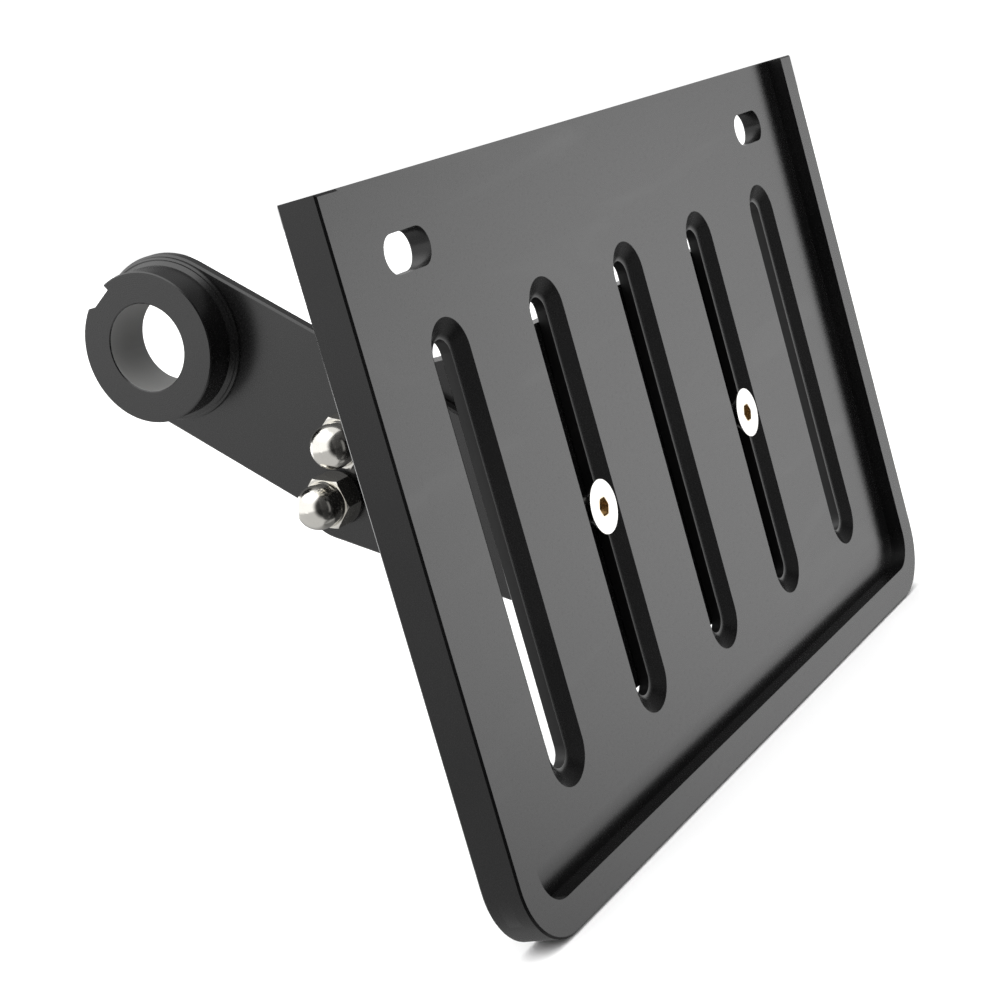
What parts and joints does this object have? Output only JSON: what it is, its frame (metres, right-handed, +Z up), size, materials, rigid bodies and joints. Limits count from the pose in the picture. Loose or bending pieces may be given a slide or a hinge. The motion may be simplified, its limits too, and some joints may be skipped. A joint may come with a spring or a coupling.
{
  "type": "tail tidy",
  "caption": "Side-mount number-plate tray with a rim and long flared slots, on an angle bracket and a slanted arm that ends in an axle boss, held by countersunk screws and acorn nuts.",
  "frame": {"origin": "middle of the axle bore, halfway between the boss's face and the arm's other face", "axes": "+X along the bore, to the right of somebody facing the tray; +Y away from that person, so the tray faces -Y; +Z up"},
  "size_m": [0.1905, 0.0752, 0.1176],
  "materials": {
    "black_anodised": "black anodised, satin",
    "stainless_steel": "polished",
    "nylon": "matte"
  },
  "bodies": {
    "root": {"plate_tray": "black_anodised", "angle_bracket": "black_anodised", "axle_arm": "black_anodised", "tray_screw_left": "stainless_steel", "tray_washer_left": "stainless_steel", "tray_locknut_left": "stainless_steel", "locknut_insert_left": "nylon", "tray_screw_right": "stainless_steel", "tray_washer_right": "stainless_steel", "tray_locknut_right": "stainless_steel", "locknut_insert_right": "nylon", "ear_bolt_lower": "stainless_steel", "bolt_washer_lower": "black_anodised", "nut_washer_lower": "black_anodised", "acorn_nut_lower": "stainless_steel", "ear_bolt_upper": "stainless_steel", "bolt_washer_upper": "black_anodised", "nut_washer_upper": "black_anodised", "acorn_nut_upper": "stainless_steel"}
  },
  "joints": []
}
